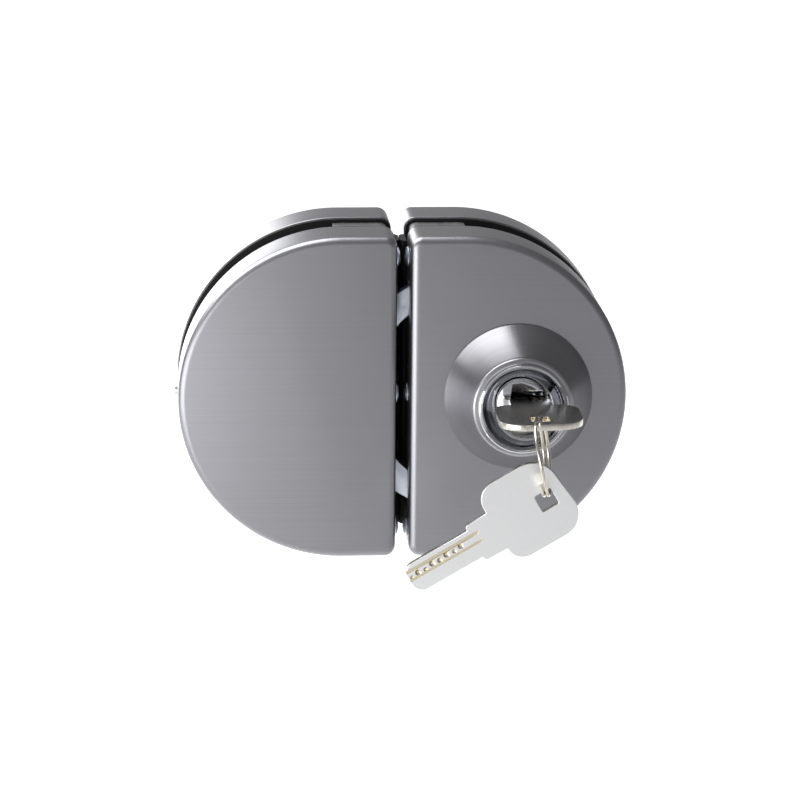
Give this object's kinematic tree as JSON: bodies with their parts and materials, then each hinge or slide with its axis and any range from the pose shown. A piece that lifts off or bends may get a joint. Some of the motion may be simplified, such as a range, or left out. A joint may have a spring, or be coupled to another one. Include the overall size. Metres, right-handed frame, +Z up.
{
  "type": "glass door lock",
  "caption": "Half-round lock and strike cases that clamp two frameless glass door leaves; a key cylinder swings crescent claws across the gap, with a spare key on a split ring",
  "frame": {"origin": "centre of the gap between the two cases, in the middle plane of the glass, at mid height", "axes": "+X towards the lock case with the cylinder, the strike case is at -X; -Y is the outside of the door, where the key goes in; +Z up"},
  "size_m": [0.1529, 0.1317, 0.111],
  "materials": {
    "satin_steel": "satin stainless steel with fine horizontal brush lines",
    "chrome": "polished chrome plating",
    "rubber": "black gasket rubber",
    "aluminium": "mill-finish aluminium",
    "nickel": "nickel silver, lightly brushed, with milled grooves and dimples on the blades",
    "brass": "nickel-plated brass",
    "plain_steel": "plain rolled steel plate",
    "zinc": "bright zinc-plated steel with a bluish cast"
  },
  "bodies": {
    "case": {"lock_front_cover": "satin_steel", "lock_back_cover": "satin_steel", "lock_base_plate": "plain_steel", "lock_back_plate": "plain_steel", "lock_front_gasket": "rubber", "lock_back_gasket": "rubber", "lock_spacer": "aluminium", "lock_edge_seal": "rubber", "lock_clamp_screw_upper": "zinc", "lock_clamp_screw_middle": "zinc", "lock_clamp_screw_lower": "zinc", "lock_side_screw_upper": "zinc", "lock_side_screw_middle": "zinc", "lock_side_screw_lower": "zinc", "lock_rear_screw_upper": "zinc", "lock_rear_screw_lower": "zinc", "lock_apex_screw": "zinc", "claw_pivot_upper": "plain_steel", "claw_pivot_lower": "plain_steel", "lid_screw_upper": "zinc", "lid_screw_lower": "zinc", "slide_guide_upper": "brass", "slide_guide_lower": "brass", "case_lid": "plain_steel", "cylinder_body": "chrome", "cylinder_nut": "brass", "escutcheon": "satin_steel", "back_rose": "satin_steel", "strike_front_cover": "satin_steel", "strike_back_cover": "satin_steel", "strike_base_plate": "plain_steel", "strike_back_plate": "plain_steel", "strike_front_gasket": "rubber", "strike_back_gasket": "rubber", "strike_spacer": "aluminium", "strike_edge_seal": "rubber", "strike_clamp_screw_upper": "zinc", "strike_clamp_screw_middle": "zinc", "strike_clamp_screw_lower": "zinc", "strike_side_screw_upper": "zinc", "strike_side_screw_middle": "zinc", "strike_side_screw_lower": "zinc", "strike_rear_screw_upper": "zinc", "strike_rear_screw_lower": "zinc", "strike_apex_screw": "zinc", "strike_keeper": "plain_steel", "keeper_screw_upper": "zinc", "keeper_screw_lower": "zinc"},
    "plug": {"cylinder_plug": "chrome", "tailpiece": "zinc", "thumb_turn": "satin_steel"},
    "slide": {"drive_slide": "zinc"},
    "claw_up": {"upper_claw": "zinc"},
    "claw_low": {"lower_claw": "zinc"},
    "key": {"key_in_lock": "nickel"},
    "ring": {"key_ring": "nickel"},
    "spare": {"spare_key": "nickel"}
  },
  "joints": [
    {"name": "key_turn", "type": "hinge", "parent": "case", "child": "plug", "pos_m": [0.0388, -0.026, 0.0008], "axis": [0, 1, 0], "range_deg": [0, 90]},
    {"name": "slide_run", "type": "slide", "parent": "case", "child": "slide", "axis": [-1, 0, 0], "range_m": [-0.0002, 0.00713]},
    {"name": "claw_up_swing", "type": "hinge", "parent": "case", "child": "claw_up", "pos_m": [0.016, -0.017, 0.009], "axis": [0, 1, 0], "range_deg": [-0.5, 60.5]},
    {"name": "claw_low_swing", "type": "hinge", "parent": "case", "child": "claw_low", "pos_m": [0.016, -0.017, -0.009], "axis": [0, 1, 0], "range_deg": [-60.5, 0.5]},
    {"name": "key_pull", "type": "slide", "parent": "plug", "child": "key", "axis": [0, -1, 0], "range_m": [0, 0.0262]},
    {"name": "ring_swing", "type": "hinge", "parent": "key", "child": "ring", "pos_m": [0.0409, -0.0731, 0.0016], "axis": [0, 1, 0], "range_deg": [-14, 8]},
    {"name": "spare_swing", "type": "hinge", "parent": "ring", "child": "spare", "pos_m": [0.04381, -0.07364, -0.02034], "axis": [0, 1, 0], "range_deg": [-75, 20]}
  ],
  "couplings": [
    {"joint": "slide_run", "follows": "key_turn", "m_per_rad": 0.0044106},
    {"joint": "claw_up_swing", "follows": "key_turn", "ratio": 0.66667},
    {"joint": "claw_low_swing", "follows": "key_turn", "ratio": -0.66667}
  ]
}
